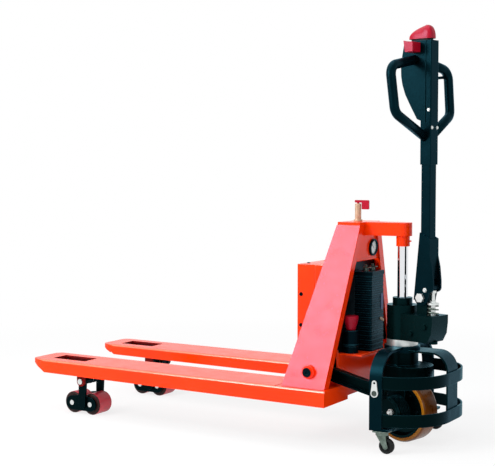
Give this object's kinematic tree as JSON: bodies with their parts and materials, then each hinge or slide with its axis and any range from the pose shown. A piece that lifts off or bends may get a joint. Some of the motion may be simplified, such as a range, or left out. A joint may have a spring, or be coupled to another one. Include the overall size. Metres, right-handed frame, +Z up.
{
  "type": "pallet jack",
  "caption": "Semi-electric pallet truck with a fork frame on lifting load rollers, a steered drive wheel, a hydraulic pump and a tiller.",
  "frame": {"origin": "on the floor, under the middle of the whole length and width", "axes": "+X from the fork tips to the operator, +Y to the right seen from the fork tips, +Z up"},
  "size_m": [1.452, 0.55, 1.2748],
  "materials": {
    "orange_paint": "gloss",
    "black_paint": "satin",
    "black_casting": "satin",
    "zinc_plate": "satin",
    "hard_chrome": "polished",
    "brass_post": "satin",
    "crimson_urethane": "satin",
    "amber_urethane": "satin",
    "red_plastic": "gloss",
    "black_plastic": "matte",
    "pale_dial": "gloss",
    "dark_rubber": "matte"
  },
  "bodies": {
    "chassis": {"fork_left": "orange_paint", "fork_right": "orange_paint", "bridge": "orange_paint", "cross_plate": "orange_paint", "side_plates": "orange_paint", "lift_arm": "orange_paint", "lift_rod": "hard_chrome", "gauge_panel": "orange_paint", "gauge_bezel": "black_plastic", "gauge_face": "pale_dial", "box_body": "orange_paint", "box_cover": "orange_paint", "battery_case": "black_plastic", "battery_terminals": "zinc_plate", "inner_cover": "black_plastic", "plug_socket": "black_plastic", "plug_grip": "red_plastic", "key_barrel": "brass_post", "rocker_pins": "black_paint", "roller_pivots": "zinc_plate"},
    "key": {"key": "red_plastic"},
    "rocker": {"rocker": "black_paint"},
    "push_rod_left": {"push_rod_left": "black_paint"},
    "roller_frame_left": {"roller_frame_left": "black_paint"},
    "bogie_left": {"bogie_left": "black_paint"},
    "load_roller_front_left": {"load_roller_front_left": "crimson_urethane"},
    "load_roller_rear_left": {"load_roller_rear_left": "crimson_urethane"},
    "push_rod_right": {"push_rod_right": "black_paint"},
    "roller_frame_right": {"roller_frame_right": "black_paint"},
    "bogie_right": {"bogie_right": "black_paint"},
    "load_roller_front_right": {"load_roller_front_right": "crimson_urethane"},
    "load_roller_rear_right": {"load_roller_rear_right": "crimson_urethane"},
    "base": {"arch": "black_paint", "rear_strap": "black_paint", "hoops": "black_paint", "bearing_ring": "zinc_plate", "leg_pins": "zinc_plate", "keeper_tabs": "zinc_plate", "caster_plates": "zinc_plate"},
    "steer": {"pump_body": "black_casting", "yoke": "black_paint", "drive_motor": "black_paint", "cable_gland": "zinc_plate", "drive_axle": "zinc_plate"},
    "drive_wheel": {"drive_tyre": "amber_urethane", "drive_hub": "black_casting"},
    "plunger": {"plunger": "zinc_plate", "plunger_spring": "zinc_plate"},
    "tiller": {"tiller_base": "black_paint", "tiller_column": "black_paint", "tiller_sleeve": "black_paint", "handle_loop": "black_plastic", "control_head": "black_plastic", "tiller_pin": "zinc_plate"},
    "belly_button": {"belly_button": "red_plastic"},
    "thumb_lever": {"thumb_lever": "red_plastic"},
    "caster_fork_left": {"caster_fork_left": "zinc_plate"},
    "caster_wheel_left": {"caster_wheel_left": "dark_rubber"},
    "caster_fork_right": {"caster_fork_right": "zinc_plate"},
    "caster_wheel_right": {"caster_wheel_right": "dark_rubber"}
  },
  "joints": [
    {"name": "lift", "type": "slide", "parent": "chassis", "child": "base", "axis": [0, 0, 1], "range_m": [0, 0.098]},
    {"name": "rocker_swing", "type": "hinge", "parent": "chassis", "child": "rocker", "pos_m": [0.355, 0, 0.23], "axis": [0, -1, 0], "range_deg": [0, 27.14]},
    {"name": "push_rod_left_pivot", "type": "hinge", "parent": "rocker", "child": "push_rod_left", "pos_m": [0.33506, -0.195, 0.14737], "axis": [0, 1, 0], "range_deg": [0, 27.14]},
    {"name": "roller_frame_left_swing", "type": "hinge", "parent": "chassis", "child": "roller_frame_left", "pos_m": [-0.52, -0.195, 0.117], "axis": [0, 1, 0], "range_deg": [0, 100.85]},
    {"name": "bogie_left_pivot", "type": "hinge", "parent": "roller_frame_left", "child": "bogie_left", "pos_m": [-0.523, -0.195, 0.037], "axis": [0, -1, 0], "range_deg": [0, 100.85]},
    {"name": "load_roller_front_left_spin", "type": "hinge", "parent": "bogie_left", "child": "load_roller_front_left", "pos_m": [-0.573, -0.195, 0.037], "axis": [0, 1, 0], "continuous": true},
    {"name": "load_roller_rear_left_spin", "type": "hinge", "parent": "bogie_left", "child": "load_roller_rear_left", "pos_m": [-0.495, -0.195, 0.037], "axis": [0, 1, 0], "continuous": true},
    {"name": "push_rod_right_pivot", "type": "hinge", "parent": "rocker", "child": "push_rod_right", "pos_m": [0.33506, 0.195, 0.14737], "axis": [0, 1, 0], "range_deg": [0, 27.14]},
    {"name": "roller_frame_right_swing", "type": "hinge", "parent": "chassis", "child": "roller_frame_right", "pos_m": [-0.52, 0.195, 0.117], "axis": [0, 1, 0], "range_deg": [0, 100.85]},
    {"name": "bogie_right_pivot", "type": "hinge", "parent": "roller_frame_right", "child": "bogie_right", "pos_m": [-0.523, 0.195, 0.037], "axis": [0, -1, 0], "range_deg": [0, 100.85]},
    {"name": "load_roller_front_right_spin", "type": "hinge", "parent": "bogie_right", "child": "load_roller_front_right", "pos_m": [-0.573, 0.195, 0.037], "axis": [0, 1, 0], "continuous": true},
    {"name": "load_roller_rear_right_spin", "type": "hinge", "parent": "bogie_right", "child": "load_roller_rear_right", "pos_m": [-0.495, 0.195, 0.037], "axis": [0, 1, 0], "continuous": true},
    {"name": "steering", "type": "hinge", "parent": "base", "child": "steer", "pos_m": [0.554, 0, 0.3], "axis": [0, 0, 1], "range_deg": [-77, 103]},
    {"name": "drive_wheel_spin", "type": "hinge", "parent": "steer", "child": "drive_wheel", "pos_m": [0.56959, -0.0036, 0.098], "axis": [0.225, 0.9744, 0], "continuous": true},
    {"name": "tiller_swing", "type": "hinge", "parent": "steer", "child": "tiller", "pos_m": [0.63682, -0.01912, 0.452], "axis": [0.225, 0.9744, 0], "range_deg": [0, 55], "stiffness_Nm_per_rad": 60, "springref_deg": -20.05},
    {"name": "plunger_stroke", "type": "slide", "parent": "steer", "child": "plunger", "axis": [0, 0, -1], "range_m": [0, 0.03753], "deforming": ["plunger_spring"]},
    {"name": "belly_button_press", "type": "slide", "parent": "tiller", "child": "belly_button", "axis": [0, 0, -1], "range_m": [0, 0.005], "stiffness_N_per_m": 2500, "springref_m": -0.004},
    {"name": "thumb_lever_turn", "type": "hinge", "parent": "tiller", "child": "thumb_lever", "pos_m": [0.61051, -0.01305, 1.206], "axis": [0.225, 0.9744, 0], "range_deg": [-20, 20], "stiffness_Nm_per_rad": 1.2},
    {"name": "key_turn", "type": "hinge", "parent": "chassis", "child": "key", "pos_m": [0.4, 0, 0.712], "axis": [0, 0, 1], "range_deg": [0, 90]},
    {"name": "caster_left_swivel", "type": "hinge", "parent": "base", "child": "caster_fork_left", "pos_m": [0.574, -0.19, 0.06], "axis": [0, 0, 1], "continuous": true},
    {"name": "caster_left_spin", "type": "hinge", "parent": "caster_fork_left", "child": "caster_wheel_left", "pos_m": [0.59, -0.19, 0.023], "axis": [0, 1, 0], "continuous": true},
    {"name": "caster_right_swivel", "type": "hinge", "parent": "base", "child": "caster_fork_right", "pos_m": [0.574, 0.19, 0.06], "axis": [0, 0, 1], "continuous": true},
    {"name": "caster_right_spin", "type": "hinge", "parent": "caster_fork_right", "child": "caster_wheel_right", "pos_m": [0.59, 0.19, 0.023], "axis": [0, 1, 0], "continuous": true}
  ],
  "couplings": [
    {"joint": "rocker_swing", "follows": "lift", "rad_per_m": 4.8336},
    {"joint": "push_rod_left_pivot", "follows": "lift", "rad_per_m": 4.8336},
    {"joint": "roller_frame_left_swing", "follows": "lift", "rad_per_m": 17.96},
    {"joint": "bogie_left_pivot", "follows": "lift", "rad_per_m": 17.96},
    {"joint": "push_rod_right_pivot", "follows": "lift", "rad_per_m": 4.8336},
    {"joint": "roller_frame_right_swing", "follows": "lift", "rad_per_m": 17.96},
    {"joint": "bogie_right_pivot", "follows": "lift", "rad_per_m": 17.96},
    {"joint": "plunger_stroke", "follows": "tiller_swing", "m_per_rad": 0.039095}
  ]
}
